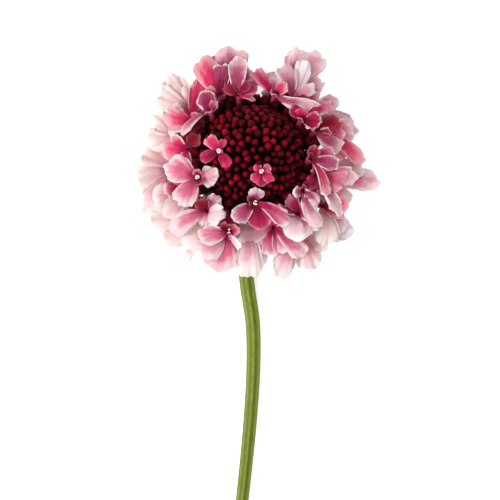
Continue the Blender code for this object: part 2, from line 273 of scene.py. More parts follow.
petal = {
    "rimColour": (0.900, 0.830, 0.820, 1),
    "rimStarts": 0.55, "rimFull": 0.02,  # distances from the margin in mm
    "ragged": 0.9,  # how far noise moves the rim's edge, in mm
    "streaks": 0.22, "veins": 0.34, "mottle": 0.55,  # how far each noise moves the bloom
    "heartEnds": 0.05, "middle": 0.45, "marginStarts": 0.95,  # the bloom at which each colour stands pure
    "roughness": 0.55, "bump": 0.3, "glow": 0.26,
    "sockets": {"Sheen Weight": 0.1, "Sheen Roughness": 0.4, "Specular IOR Level": 0.3},
}


def petalLook():
    # the lobe's three colours follow its bloom, broken by streaks that fan out from the throat,
    # and a thin pale rim follows the distance to the margin
    made, tree = newLook("petal_upper")
    place = addNode(tree, "ShaderNodeTexCoord").outputs
    streak = noise(tree, place["UV"], scale=2.0, detail=4.0, roughness=0.6, stretch=(5.0, 0.5, 1.0))
    vein = noise(tree, place["UV"], scale=2.0, detail=2.0, roughness=0.5, stretch=(26.0, 0.8, 1.0))
    mottle = noise(tree, place["Object"], scale=380.0, detail=3.0, roughness=0.6)
    ragged = noise(tree, place["Object"], scale=1600.0, detail=2.0, roughness=0.6)
    bloom = value(tree, "bloom")
    veins = maths(tree, "MULTIPLY", swing(tree, vein, bloom), petal["veins"])
    drift = maths(tree, "ADD", swing(tree, streak, petal["streaks"]), veins)
    drift = maths(tree, "ADD", drift, swing(tree, mottle, petal["mottle"]))
    shift = maths(tree, "ADD", bloom, drift, clamp=True)
    inner = eased(tree, shift, petal["heartEnds"], petal["middle"])
    outer = eased(tree, shift, petal["middle"], petal["marginStarts"])
    colour = mixed(tree, inner, tint(tree, "heart"), tint(tree, "flesh"))
    colour = mixed(tree, outer, colour, tint(tree, "margin"))
    edge = maths(tree, "ADD", value(tree, "edge"), swing(tree, ragged, petal["ragged"]))
    rim = eased(tree, edge, petal["rimStarts"], petal["rimFull"])
    colour = mixed(tree, maths(tree, "MULTIPLY", rim, value(tree, "rim")), colour, petal["rimColour"])
    bump = bumped(tree, maths(tree, "ADD", vein, streak), petal["bump"])
    finishLook(tree, colour, petal["roughness"], bump, petal["glow"], **petal["sockets"])
    return made


plainFinishes = {
    # colours over the piece's value top, and the scale of the grain that breaks them and makes the bump
    # closed buds: near-black at their feet as painted shade between the buds, rising to a painted highlight
    # at their tips
    "closed_bud": {
        "stops": [
            (0.00, (0.003, 0.000, 0.001)),
            (0.35, (0.024, 0.000, 0.002)),
            (0.60, (0.090, 0.000, 0.005)),
            (0.82, (0.215, 0.000, 0.013)),
            (1.00, (0.380, 0.004, 0.030)),
        ],
        "roughness": 0.6, "grain": 900.0, "bump": 0.3, "specular": 0.12,
    },
    # near-black on the cap where it shows between the buds: the dark of the bristles there and painted shade
    # of the gaps; olive green at the foot under the head
    "dome_skin": {
        "stops": [(0.0, (0.003, 0.0005, 0.001)), (0.4, (0.010, 0.004, 0.003)), (1.0, (0.060, 0.080, 0.020))],
        "roughness": 0.8, "grain": 500.0, "bump": 0.5, "specular": 0.1,
    },
    "bristle": {
        "stops": [(0.0, (0.004, 0.001, 0.001)), (1.0, (0.030, 0.006, 0.008))],
        "roughness": 0.7, "grain": 500.0, "bump": 0.2, "specular": 0.1,
    },
    "anther": {
        "stops": [(0.0, (0.60, 0.35, 0.32)), (1.0, (0.86, 0.76, 0.62))],
        "roughness": 0.6, "grain": 1500.0, "bump": 0.4,
    },
    # the tubes: dark brownish green at the foot, partly painted shade down among the tubes under the lobes,
    # up to crimson at the throat
    "calyx_and_painted_shade": {
        "stops": [
            (0.00, (0.020, 0.014, 0.005)),
            (0.40, (0.090, 0.030, 0.018)),
            (0.75, (0.300, 0.030, 0.060)),
            (1.00, (0.420, 0.040, 0.110)),
        ],
        "roughness": 0.55, "grain": 600.0, "bump": 0.4, "glow": 0.15,
    },
    "bract_green": {
        "stops": [(0.0, (0.045, 0.070, 0.012)), (0.6, (0.090, 0.130, 0.025)), (1.0, (0.180, 0.220, 0.070))],
        "roughness": 0.5, "grain": 700.0, "bump": 0.4, "glow": 0.1,
    },
}


def plainLook(name):
    # a ramp over the piece's value top, broken by a fine noise that also makes the bump
    finish = {"swing": 0.25, "glow": 0.0, "specular": 0.5, **plainFinishes[name]}
    made, tree = newLook(name)
    place = addNode(tree, "ShaderNodeTexCoord").outputs["Object"]
    grain = noise(tree, place, finish["grain"], detail=4.0, roughness=0.6)
    factor = maths(tree, "ADD", value(tree, "top"), swing(tree, grain, finish["swing"]), clamp=True)
    colour = ramp(tree, factor, finish["stops"])
    bump = bumped(tree, grain, finish["bump"])
    sockets = {"Specular IOR Level": finish["specular"]}
    finishLook(tree, colour, finish["roughness"], bump, finish["glow"], **sockets)
    return made


looks = {name: plainLook(name) for name in plainFinishes}
looks["petal"] = petalLook()

floret = {
    "thickness": 0.16,
    "lobes": 5,
    "fullness": 1.18,  # scales the width of every listed lobe
    # the florets whose throat lies open to view; the others have a narrow mouth and no stamens
    "open": ("low_5", "high_5", "near_5", "near_6", "wide_7", "disc_1", "disc_2"),
    "closedMouth": 0.55,
    "mouthShare": math.radians(36),  # half the angle of the mouth's rim that a lobe stands on
    "tubeRows": 12, "tubeCols": 14,
    "arrival": 2.6,  # handle of the tube's curve at the throat
    "mouthStarts": 0.55,  # share of the tube at which it starts to widen
    # rows and columns of a lobe that is wider than this
    "grids": ((3.9, (18, 49)), (2.3, (13, 31)), (0.0, (9, 19))),
    "seed": 100,
}

rowStyles = {
    # seat is the foot's place as (out, level), run the handle of the tube's curve there, then come the
    # radii of tube and mouth and the mouth's lean in degrees; reach, rise in degrees, inner and outer
    # paints are for the lobes that aren't listed
    "low": {"node": "ray_floret_low", "slot": "ray_petal", "seat": (9.85, -0.6), "run": 4.4, "tube": 0.75,
            "mouth": 1.1, "lean": 8, "stamens": 0, "reach": 8.0, "rise": 14,
            "inner": ("rose", "pink"), "outer": ("blush", "pink")},
    "high": {"node": "ray_floret_high", "slot": "ray_petal", "seat": (9.85, 1.2), "run": 4.4, "tube": 0.75,
             "mouth": 1.1, "lean": 8, "stamens": 0, "reach": 7.6, "rise": 18,
             "inner": ("rose", "mauve"), "outer": ("blush", "pink")},
    "wide": {"node": "inner_floret_low", "slot": "inner_petal", "seat": (9.85, 3.1), "run": 5.0, "tube": 0.7,
             "mouth": 0.85, "lean": 12, "stamens": 2, "reach": 5.6, "rise": 20,
             "inner": ("magenta", "crimson"), "outer": ("pink", "rose")},
    "near": {"node": "inner_floret_high", "slot": "inner_petal", "seat": (9.85, 3.1), "run": 5.0, "tube": 0.7,
             "mouth": 0.85, "lean": 14, "stamens": 3, "reach": 4.8, "rise": 26,
             "inner": ("crimson", "magenta"), "outer": ("rose", "mauve")},
    "disc": {"node": "disc_floret", "slot": "disc_petal", "seat": (7.2, 11.1), "run": 0.8, "tube": 0.45,
             "mouth": 0.6, "lean": 10, "stamens": 4, "reach": 2.6, "rise": 20,
             "inner": ("magenta",), "outer": ("rose",)},
}

florets = [
    # row, throat, and lobes as (x, y, level of the tip; width, paint, what it has of its own)
    ("low", (19.8, -3.0, -1), [
        (31.8, -5.3, 0, 5.2, "pink", {"blunt": 1.5, "shoulder": 1.0, "cup": -0.3}),
        (27.9, -1.6, 1.5, 5.4, "blush", {}),
        (15.0, -8.4, -1, 4.8, "rose", {"rim": 0.0}),
        (24.2, -10.2, -1, 4.2, "blush", {})]),
    ("low", (14.6, 13.0, -1), [
        (25.9, 7.0, 0, 5.6, "mauve", {"pale": 0.2, "sway": 0.0}),
        (21.8, 15.6, 0, 3.8, "pink", {"sway": 0.0})]),
    ("low", (-2.3, 18.8, -1), [
        (-1.4, 24.4, 0, 3.6, "mauve", {"sway": 0.0}),
        (0.4, 22.6, -1, 2.2, "cream", {"sway": 0.0}),
        (6.4, 22.0, 1, 3.0, "pink", {"sway": 0.0})]),
    ("low", (-14.4, 13.0, -1), [
        (-21.8, 21.6, 0, 6.0, "cream", {"sway": 0.0, "cup": -0.3}),
        (-23.7, 17.4, 0, 5.4, "cream", {"cup": -0.3, "sway": 0.0}),
        (-15.6, 19.8, 2, 4.4, "blush", {"cup": -0.2, "sway": 0.0})]),
    ("low", (-19.9, -2.3, -1), [
        (-29.0, -3.4, 0, 8.6, "cream", {"fold": -0.2, "cup": -0.2, "sway": 0.0}),
        (-27.3, 2.8, 0, 7.2, "cream", {"sway": 0.0, "cup": -0.3}),
        (-28.0, -6.6, 0, 6.0, "cream", {"cup": -0.3, "sway": 0.0}),
        (-26.8, -12.4, 0, 5.4, "blush", {"blunt": 1.4, "cup": -0.3, "sway": 0.0})]),
    ("low", (-13.0, -14.7, -1), [
        (-21.6, -20.0, -1, 5.8, "cream", {"sway": 0.0}),
        (-25.2, -14.0, 0, 6.6, "cream", {"cup": -0.3, "sway": 0.0}),
        (-14.4, -8.2, -1, 6.0, "mauve", {"rim": 0.0, "sway": 0.0}),
        (-16.4, -25.5, -2, 1.8, "cream", {"sway": 0.0})]),
    ("low", (-0.6, -16.5, 0), [
        (-0.8, -28.9, 1.5, 6.2, "blush", {"pale": 0.15, "cup": -0.7, "curl": 30, "sway": 0.0}),
        (3.0, -25.6, -1, 3.0, "lilac", {"sway": 0.0}),
        (-4.4, -26.4, -1, 4.4, "cream", {})]),
    ("low", (11.2, -16.2, -1), [
        (6.8, -28.9, -1, 4.8, "blush", {"sway": 0.0, "cup": -0.4}),
        (15.2, -26.5, -1, 6.2, "blush", {"sway": 0.0}),
        (24.9, -17.4, 0, 5.6, "lilac", {"sway": 0.0}),
        (18.4, -22.0, -1, 3.2, "cream", {"sway": 0.0})]),

    ("high", (18.3, 7.1, 3), [
        (25.6, 7.6, 2.5, 5.4, "pink", {"sway": 0.0}),
        (23.0, 0.6, 2, 6.0, "rose", {"sway": 0.0}),
        (14.2, 4.4, 4, 3.6, "crimson", {"rim": 0.0}),
        (27.8, -0.4, 3, 3.6, "rose", {"sway": 0.0})]),
    ("high", (9.7, 16.8, 3), [
        (11.9, 28.6, 5, 5.4, "pink", {"curl": 0, "sway": 0.0, "cup": -0.3}),
        (17.1, 27.6, 4, 5.8, "blush", {"pale": -0.1, "sway": 0.0}),
        (17.6, 20.4, 4, 4.4, "pink", {"sway": 0.0}),
        (2.6, 17.6, 3, 4.8, "mauve", {"rim": 0.0, "sway": 0.0}),
        (10.4, 12.2, 3, 4.0, "crimson", {"rim": 0.0})]),
    ("high", (-6.0, 18.0, 3), [
        (-4.8, 29.0, 5, 7.2, "mauve", {"pale": 0.0, "cup": -0.2, "ruffle": 0.4, "sway": 0.0}),
        (-9.6, 27.0, 5, 3.0, "crimson", {}),
        (-1.4, 15.2, 3, 4.6, "crimson", {"rim": 0.0}),
        (-7.2, 13.2, 3, 4.2, "crimson", {"rim": 0.0})]),
    ("high", (-18.4, 6.8, 3), [
        (-24.4, 11.8, 2, 6.0, "cream", {"cup": -0.3, "sway": 0.0}),
        (-26.2, 5.8, 2, 6.6, "cream", {"cup": -0.3, "sway": 0.0}),
        (-14.4, 3.8, 3.5, 4.8, "rose", {"rim": 0.0, "sway": 0.0}),
        (-19.6, 14.6, 2, 4.8, "blush", {})]),
    ("high", (-17.3, -7.6, 3), [
        (-24.6, -10.6, 2.5, 7.0, "blush", {"cup": -0.3, "sway": 0.0}),
        (-21.4, -8.2, 4, 4.4, "rose", {}),
        (-17.4, -3.0, 4, 4.4, "rose", {"rim": 0.0, "sway": 0.0}),
        (-20.6, -14.2, 4.5, 5.8, "cream", {"cup": -0.3})]),
    ("high", (-6.5, -18.0, 3), [
        (-8.6, -27.2, 2, 8.4, "pink", {"cup": -0.2, "sway": -0.1}),
        (-17.2, -20.2, 3, 5.6, "cream", {"cup": -0.3}),
        (-13.4, -23.0, 2, 5.6, "blush", {"cup": -0.3}),
        (-7.2, -11.6, 3, 5.2, "magenta", {"rim": 0.0, "sway": 0.0})]),
    ("high", (5.3, -16.6, 3), [
        (4.2, -23.4, 2, 5.0, "pink", {"pale": -0.1, "sway": 0.0}),
        (-4.2, -18.4, 3, 6.0, "blush", {"sway": 0.0}),
        (8.4, -22.6, 2.5, 4.6, "pink", {"cup": -0.5}),
        (12.8, -23.6, 1.5, 4.2, "pink", {"cup": -0.5})]),
    ("high", (17.4, -11.2, 3), [
        (23.8, -12.2, 3, 5.8, "rose", {}),
        (22.6, -17.6, 1.5, 5.0, "lilac", {"sway": 0.0}),
        (18.2, -20.8, 2.5, 5.4, "cream", {"pale": 0.1})]),

    ("wide", (16.2, 7.7, 7), [
        (22.2, 9.4, 8, 4.8, "crimson", {"rim": 0.2, "cup": -0.5}),
        (22.6, 5.2, 6, 4.2, "magenta", {"roll": 20, "rim": 0.6}),
        (21.8, 2.4, 6.5, 4.4, "mauve", {"pale": 0.05, "cup": -0.3, "sway": 0.0}),
        (19.6, 6.6, 7.5, 2.4, "crimson", {"rim": 0.8, "roll": 25, "sway": 0.0})]),
    ("wide", (10.4, 15.8, 7), [
        (7.9, 24.2, 7, 4.4, "mauve", {"pale": 0.15, "cup": -0.3, "rim": 0.9, "sway": 0.0}),
        (12.9, 25.4, 8, 4.2, "lilac", {"pale": 0.2, "roll": -10, "cup": -0.7, "arch": 10, "sway": 0.1}),
        (15.6, 18.6, 7, 3.6, "blush", {"sway": 0.0})]),
    ("wide", (-8.1, 16.1, 7), [
        (-12.4, 26.7, 6, 5.4, "rose", {"pale": 0.0, "fold": -0.35, "cup": -0.2, "ruffle": 0.4, "sway": -0.1}),
        (-7.4, 24.5, 8, 4.0, "mauve", {"pale": -0.3, "rim": 1.0, "cup": -0.4, "sway": 0.0})]),
    ("wide", (-14.9, 10.0, 7), [
        (-21.6, 11.2, 7, 5.2, "rose", {"cup": -0.5, "rim": 0.2}),
        (-12.4, 21.2, 5, 4.2, "rose", {"pale": -0.15, "sway": 0.0}),
        (-12.0, 7.8, 6, 4.0, "crimson", {"rim": 0.0, "sway": 0.0}),
        (-20.4, 6.6, 7, 3.6, "blush", {"roll": 30})]),
    ("wide", (-16.0, 3.1, 7), [
        (-22.4, 2.6, 6, 5.2, "rose", {}),
        (-20.0, 6.2, 8, 3.0, "rose", {"roll": -50, "rim": 1.0}),
        (-16.8, -1.0, 8, 3.0, "rose", {}),
        (-13.2, 6.6, 8, 3.4, "crimson", {"rim": 0.1, "sway": 0.0}),
        (-12.6, 0.0, 6, 3.2, "crimson", {"rim": 0.0})]),
    ("wide", (-11.1, -12.6, 7), [
        (-19.8, -17.6, 6, 4.8, "pink", {"pale": 0.15, "cup": -0.5}),
        (-13.0, -15.6, 6, 3.4, "blush", {}),
        (-8.2, -8.6, 8.5, 3.6, "mauve", {"pale": 0.1, "rim": 0.3, "sway": 0.0}),
        (-6.6, -13.4, 9, 4.6, "white", {"curl": 60, "arch": 80, "cup": -0.4, "sway": 0.45})]),
    ("wide", (-5.6, -17.5, 7), [
        (-13.0, -18.6, 7, 4.6, "pink", {"cup": -0.5}),
        (-2.6, -21.4, 7, 3.0, "white", {"roll": 65, "rim": 1.0, "arch": 10})]),
    ("wide", (11.5, -13.2, 7), [
        (10.8, -19.8, 8, 6.6, "white", {"cup": -0.4, "pale": 0.0, "arch": 30, "curl": 20, "sway": 0.0}),
        (8.8, -8.8, 7.5, 3.2, "magenta", {"rim": 0.2, "pale": 0.1}),
        (6.4, -11.2, 9, 3.4, "magenta", {"roll": 50, "rim": 1.0, "arch": 10})]),
    ("wide", (16.0, -3.5, 7), [
        (23.0, -5.0, 8, 6.2, "magenta", {"pale": 0.1, "cup": -0.4}),
        (25.9, -4.2, 6, 4.4, "pink", {}),
        (13.6, -6.6, 5, 3.4, "magenta", {"rim": 0.0}),
        (21.4, -13.6, 8, 3.6, "pink", {"pale": 0.05, "roll": -30, "rim": 1.0})]),

    ("near", (12.2, 10.2, 10), [
        (9.8, 13.4, 10, 3.2, "magenta", {"rim": 0.1, "pale": -0.3}),
        (17.1, 9.4, 11, 4.2, "magenta", {"cup": 0.5, "arch": 10, "rim": 0.5, "pale": -0.25, "sway": 0.0}),
        (12.8, 12.6, 12, 3.4, "rose", {"rim": 0.0, "pale": -0.3}),
        (19.6, 14.2, 8, 3.2, "magenta", {"cup": -0.4, "pale": 0.1, "sway": 0.0})]),
    ("near", (5.6, 16.6, 9), [
        (16.4, 13.6, 11.5, 3.0, "mauve",
         {"pale": 0.2, "roll": 55, "rim": 1.0, "ruffle": 0.9, "waves": 1.3, "sway": 0.2}),
        (5.0, 21.2, 8, 3.8, "mauve", {"pale": 0.15, "sway": 0.0}),
        (0.2, 22.6, 8, 3.0, "magenta", {"rim": 0.2})]),
    ("near", (-3.4, 16.4, 10), [
        (-3.2, 26.0, 9, 4.2, "mauve", {"cup": 0.5, "arch": 15, "rim": 1.0, "ruffle": 0.3, "sway": 0.0}),
        (-6.7, 18.9, 10, 2.8, "crimson", {"rim": 0.1}),
        (-1.0, 20.0, 10.5, 2.8, "crimson", {"rim": 0.1}),
        (1.2, 18.6, 9, 3.0, "magenta", {"rim": 0.1, "pale": -0.15}),
        (0.6, 15.8, 8, 2.8, "rose", {"rim": 0.1, "sway": 0.0})]),
    ("near", (-10.4, 12.0, 10), [
        (-11.8, 17.4, 10, 4.2, "mauve", {"pale": -0.3, "cup": -0.4, "rim": 1.0, "ruffle": 0.15}),
        (-17.4, 6.2, 9, 3.2, "mauve", {"roll": 30, "ruffle": 0.1})]),
    ("near", (-13.3, -4.3, 10), [
        (-21.3, -1.4, 10, 5.8, "pink", {"pale": -0.05, "cup": -0.3, "ruffle": 0.4}),
        (-8.2, -3.4, 11.5, 4.6, "blush", {"cup": -0.3, "ruffle": 0.5}),
        (-17.4, -11.2, 9.5, 5.4, "pink", {"cup": -0.5})]),
    ("near", (0.8, -10.5, 11), [
        (1.0, -6.8, 12.5, 3.4, "mauve", {"pale": 0.2, "cup": -0.4, "sway": 0.0}),
        (-4.4, -14.9, 11, 4.0, "mauve", {"pale": -0.1, "cup": -0.5, "sway": 0.1}),
        (8.8, -15.5, 10.5, 4.0, "pink", {"pale": -0.2, "roll": -20, "cup": -0.5, "sway": -0.1}),
        (2.4, -17.0, 10.5, 5.0, "magenta", {"pale": -0.25, "rim": 0.2, "cup": -0.3, "sway": 0.0})]),
    ("near", (12.6, -7.6, 10), [
        (16.6, -16.4, 9.5, 3.4, "mauve", {"pale": 0.2, "cup": -0.8, "rim": 1.0}),
        (15.6, -11.6, 10, 3.6, "mauve", {"pale": 0.15, "cup": -0.8}),
        (13.2, -7.0, 11, 2.2, "mauve", {}),
        (10.0, -8.2, 11, 2.6, "mauve", {"roll": -20, "rim": 1.0})]),
    ("near", (14.6, 0.4, 10), [
        (20.3, 1.9, 10, 3.6, "magenta", {"cup": -0.6, "rim": 0.7, "ruffle": 0.15}),
        (21.2, -1.2, 9.5, 3.2, "mauve", {"roll": 20, "rim": 0.8, "pale": -0.15}),
        (18.4, -8.8, 10, 2.8, "rose", {"roll": -20, "rim": 0.9})]),

    ("disc", (-8.0, 2.0, 14), [
        (-5.6, -1.8, 14, 2.4, "rose", {"rim": 0.0, "pale": -0.35}),
        (-6.8, 5.1, 14, 1.8, "rose", {"rim": 0.0, "pale": -0.25}),
        (-11.0, 5.6, 13.5, 2.7, "rose", {"rim": 0.0, "pale": -0.1}),
        (-12.6, 0.2, 13, 2.8, "magenta", {"rim": 0.0, "pale": -0.3})]),
    ("disc", (2.3, -3.0, 14), [
        (5.0, -5.2, 13.5, 2.2, "rose", {"rim": 0.0, "pale": -0.2}),
        (-0.1, -5.2, 13.5, 2.2, "rose", {"rim": 0.0, "pale": -0.2}),
        (2.7, -6.6, 13, 3.0, "magenta", {"rim": 0.0, "pale": -0.2}),
        (4.7, -1.9, 14, 2.0, "pink", {"rim": 0.0, "pale": -0.2}),
        (0.8, -1.2, 14, 1.8, "rose", {"rim": 0.0, "pale": -0.2})]),
]

lobeStyle = {
    # what a lobe has unless its floret says otherwise
    "roll": 0.0,  # turn about its own middle line, in degrees
    "fold": 0.0,  # height of a sharp fold along the middle line, per mm away from it
    "pale": 0.0,  # how far its colours move towards the margin's
}
listedRanges = {
    # what a listed lobe draws, in this order, before its floret's own values go over it; in degrees
    "arch": (5, 60),  # how far its middle line turns over from base to tip
    "cup": (-0.8, 0.1),  # turn of each half round the middle line, in radians
    "curl": (-20, 40),  # further turn of its last third
    "ruffle": (0.07, 0.13),  # height of the waves round the margin: here a share of the width, else in mm
    "waves": (1.6, 3.2),  # how many waves there are
    "sway": (-0.35, 0.35),  # how far its middle line bows sideways, as a share of its length
    "blunt": (0.75, 1.05),  # length of the rounded end, as a share of half the width
    "shoulder": (0.65, 0.95),  # how soon it widens
    "rim": (0.1, 0.75),  # strength of the pale rim
    "crimp": (0.02, 0.2),  # height in mm of the fine crimping at the very edge, and depth of its teeth
}
fillerStyle = {**lobeStyle, "blunt": 0.95, "shoulder": 0.8, "rim": 0.15, "crimp": 0.18}
fillerRanges = {
    # the same for a lobe that fills a floret's gap; width is a share of its reach
    "arch": (10, 70), "cup": (-0.4, 0.7), "curl": (-20, 50), "width": (0.8, 1.0), "waves": (1.4, 2.8),
    "sway": (-0.3, 0.3),
}
lobeForm = {
    # what all lobes share
    "steeper": 0.5, "steeperReach": 0.9,  # slope added at the mouth, and how soon it fades
    "curlFrom": 0.62, "curlTo": 1.05,  # where along its length a lobe curls
    "endTurn": 1.75,  # half the angle that the rounded end goes through
    "bluntShares": (0.25, 0.6),  # least and greatest share of the length that is rounded
    # scallops of the end: depth in mm, radians to half the margin, and the phase each takes
    "scallops": ((0.14, 4.6, 0), (0.10, 9.0, 1), (0.06, 17.0, 8)),
    "fullScallops": 2.5,  # half width from which they are that deep
    "toothDepth": 0.45, "toothShare": 0.2,  # for a crimp of 1: in mm, at most this share of half the width
    # teeth and crimps: half waves to half the margin at no width, and more for each mm of half width;
    # how far and how often their phase wanders, and the two phases each takes
    "teeth": (7.0, 3.5, 1.5, 6, 2, 7), "crimps": (7.0, 3.0, 0.8, 5, 6, 8),
    "waveReach": 0.3,  # how far in the waves reach, as a share of half the width
    "crimpReach": 0.9,  # how far in the crimping reaches, in mm
    "joint": 0.28,  # share of the lobe that leaves the mouth's rim by degrees
    # bloom of the end and of the sides, and how far in it goes, as a share of length and of half width
    "endBloom": 0.95, "endBloomReach": 0.28, "sideBloom": 0.75, "sideBloomReach": 0.3,
    "rimless": 1.5,  # distance in mm that keeps the pale rim away from the mouth
}


def floretSpec(row, throat, lobes=()):
    # a row's style with the floret's foot and throat and its directions: radial outwards and across it,
    # both level, then out and face, which are outwards and upwards turned by the mouth's lean
    style = rowStyles[row]
    throat = seen(*throat)
    turn, lean = math.atan2(throat[1], throat[0]), math.radians(style["lean"])
    radial, axis = np.array([math.cos(turn), math.sin(turn), 0.0]), np.array([0.0, 0.0, 1.0])
    return {
        **style, "lobes": lobes, "throat": throat, "radial": radial,
        "across": np.array([-math.sin(turn), math.cos(turn), 0.0]),
        "out": radial * math.cos(lean) - axis * math.sin(lean),
        "face": radial * math.sin(lean) + axis * math.cos(lean),
        "foot": radial * style["seat"][0] + axis * style["seat"][1],
    }


def mouthWay(spec, turn):  # directions in the mouth's plane: out times cosine plus across times sine
    turn = np.asarray(turn)[..., None]
    return np.cos(turn) * spec["out"] + np.sin(turn) * spec["across"]


def mouthRim(spec, turn):  # places on the circle of the mouth
    return spec["throat"] + spec["mouth"] * mouthWay(spec, turn)


def fineWave(kind, half, v, p):  # a sine along v whose phase wanders, so that no two teeth are alike
    least, more, far, often, one, other = lobeForm[kind]
    return np.sin((least + more * half) * np.pi * v + p[one] + far * np.sin(often * v + p[other]))


def lobeOutline(lobe, half, length, foot, u, v, p):
    # The sides widen on quadratic Bezier curves to the end, which is an arc of an ellipse, moved in and
    # out by scallops and teeth that grow as u^4. Gives each point's share of the length and place
    # across, and its distances from the end and from the nearer side.
    turn = lobeForm["endTurn"] * v
    neck = 1 - np.clip(lobe["blunt"] * half / length, *lobeForm["bluntShares"])
    scallops = sum(depth * np.sin(count * v + p[k]) for depth, count, k in lobeForm["scallops"])
    depth = min(lobeForm["toothShare"], lobeForm["toothDepth"] / half) * lobe["crimp"]
    fray = min(1, half / lobeForm["fullScallops"]) * scallops / half + depth * fineWave("teeth", half, v, p)
    endAlong, endAcross = neck + (1 - neck) * np.cos(turn), half * np.sin(turn)
    bendAlong, bendAcross = 0.4 * endAlong, half * v * lobe["shoulder"]
    along = 2 * u * (1 - u) * bendAlong + u**2 * endAlong * (1 + u**4 * fray * half / length)
    across = (1 - u) ** 2 * foot * v + 2 * u * (1 - u) * bendAcross + u**2 * endAcross * (1 + u**4 * fray)
    toEnd = (1 - u) * np.hypot(endAlong * length, endAcross - foot * v)
    toSide = (1 - np.abs(v)) * ((1 - u) ** 2 * foot + (1 - (1 - u) ** 2) * half)
    return along, across, toEnd, toSide


def middleLine(lobe, length, along):
    # The slope falls evenly by arch, then by curl past two thirds, from a steeper start at the mouth.
    # Its cosines and sines are summed as the two parts of a complex number, and the sum is turned and
    # scaled so that it ends on the tip. Gives run, climb and slope at each share of the length.
    share = np.linspace(0, 1.2, 100)
    slope = math.radians(lobe["arch"]) * (0.5 - share)
    slope = slope - math.radians(lobe["curl"]) * smooth(share, lobeForm["curlFrom"], lobeForm["curlTo"])
    slope = slope + lobeForm["steeper"] * fade(share * length, lobeForm["steeperReach"])
    line = np.append(0, np.cumsum(np.exp(0.5j * (slope[1:] + slope[:-1]))))
    tip = np.interp(1.0, share, line)
    line = line / tip * length
    return [np.interp(along, share, found) for found in (line.real, line.imag, slope - np.angle(tip))]


def frillHeight(lobe, half, edge, u, v, p):
    # a sine and one half as high and twice as fine, which fade inwards, and crimps at the very edge
    turn = np.pi * lobe["waves"] * v
    waves = np.sin(turn + p[4]) + 0.5 * np.sin(2.1 * turn + p[5] + u)
    waves = waves * (0.15 * u**2 + fade(edge, lobeForm["waveReach"] * half) * smooth(u, 0.15, 0.6))
    crimps = fineWave("crimps", half, v, p) * fade(edge, lobeForm["crimpReach"]) * smooth(u, 0.3, 0.8)
    return lobe["ruffle"] * waves + lobe["crimp"] * crimps


def lobeSurface(lobe, spec, middle, rng):
    # The flat outline is carried square to the middle line. Each half rolls round that line on a circle
    # of radius half / cup, with the fold and the frills on top. The first row is the mouth's own rim,
    # where neighbours meet.
    rows, cols = next(grid for over, grid in floret["grids"] if lobe["width"] > over)
    p = rng.uniform(0, 2 * np.pi, 9)  # phases of the margin's waves
    u = 1 - (1 - np.linspace(0, 1, rows)[:, None]) ** 1.25  # from mouth to margin, closer at the margin
    v = np.linspace(-1, 1, cols)[None, :]
    v = 0.75 * v + 0.25 * np.sin(np.pi / 2 * v)  # from side to side, closer at the sides
    rim, base = mouthRim(spec, middle + floret["mouthShare"] * v[0]), mouthRim(spec, middle)
    foot, half = np.linalg.norm(rim[-1] - rim[0]) / 2, lobe["width"] / 2
    length = np.linalg.norm(lobe["tip"] - base)
    ahead = (lobe["tip"] - base) / length
    side = unit(np.cross(spec["face"], ahead))
    up = np.cross(ahead, side)
    c, s = math.cos(math.radians(lobe["roll"])), math.sin(math.radians(lobe["roll"]))
    side, up = side * c + up * s, up * c - side * s

    along, across, toEnd, toSide = lobeOutline(lobe, half, length, foot, u, v, p)
    edge = np.minimum(toEnd, toSide)
    run, climb, slope = middleLine(lobe, length, along)
    cup = lobe["cup"] if abs(lobe["cup"]) > 0.01 else 0.01
    height = half / cup * (1 - np.cos(cup * across / half)) + lobe["fold"] * np.sqrt(across**2 + 0.02)
    height = height + frillHeight(lobe, half, edge, u, v, p)
    bow = np.clip(along, 0, 1.2)
    sideways = half / cup * np.sin(cup * across / half) + lobe["sway"] * length * bow * (bow - 1)
    run, climb = run - height * np.sin(slope), climb + height * np.cos(slope)
    points = base + run[..., None] * ahead + sideways[..., None] * side + climb[..., None] * up
    blend = smooth(u, 0.0, lobeForm["joint"])[..., None]
    points = rim[None] * (1 - blend) + points * blend

    # bloom is 0 at the heart and 1 at the margin, and edge the distance to it, kept large at the mouth
    atEnd = lobeForm["endBloom"] * fade(toEnd, lobeForm["endBloomReach"] * length)
    atSides = lobeForm["sideBloom"] * smooth(u, 0.15, 0.5) * fade(toSide, lobeForm["sideBloomReach"] * half)
    bloom = 1 - (1 - 0.5 * u) * (1 - atEnd) * (1 - atSides) + lobe["pale"]
    edge = edge + lobeForm["rimless"] * (1 - smooth(u, 0.1, 0.35))
    uv = np.stack(np.broadcast_arrays(v * 0.5 + 0.5 + 3 * p[7], u), -1)
    heart, flesh, margin = (np.array(c) * rng.uniform(0.94, 1.06) for c in petalPaints[lobe["paint"]])
    return part(toRow(points), gridFaces(rows, cols), 0, uv, bloom=bloom, edge=edge, rim=lobe["rim"],
                heart=heart, flesh=flesh, margin=margin)


def fillingLobe(spec, place, rng):
    # a lobe on a straight way from the throat at this angle: longest, flattest and palest outwards
    outward = 0.5 + 0.5 * math.cos(place)
    reach = spec["reach"] * (0.45 + 0.55 * outward) * rng.uniform(0.85, 1.15)
    rise = math.radians(spec["rise"] + 25 * (1 - outward) + rng.uniform(-10, 10))
    paints = spec["outer" if math.cos(place) > 0.2 else "inner"]
    lobe = {**fillerStyle, "place": place, "ruffle": 0.1 * reach, "paint": paints[rng.integers(len(paints))]}
    lobe.update(drawn(fillerRanges, rng))
    way = mouthWay(spec, place) * math.cos(rise) + spec["face"] * math.sin(rise)
    lobe.update(width=reach * lobe["width"], tip=spec["throat"] + way * reach)
    return lobe


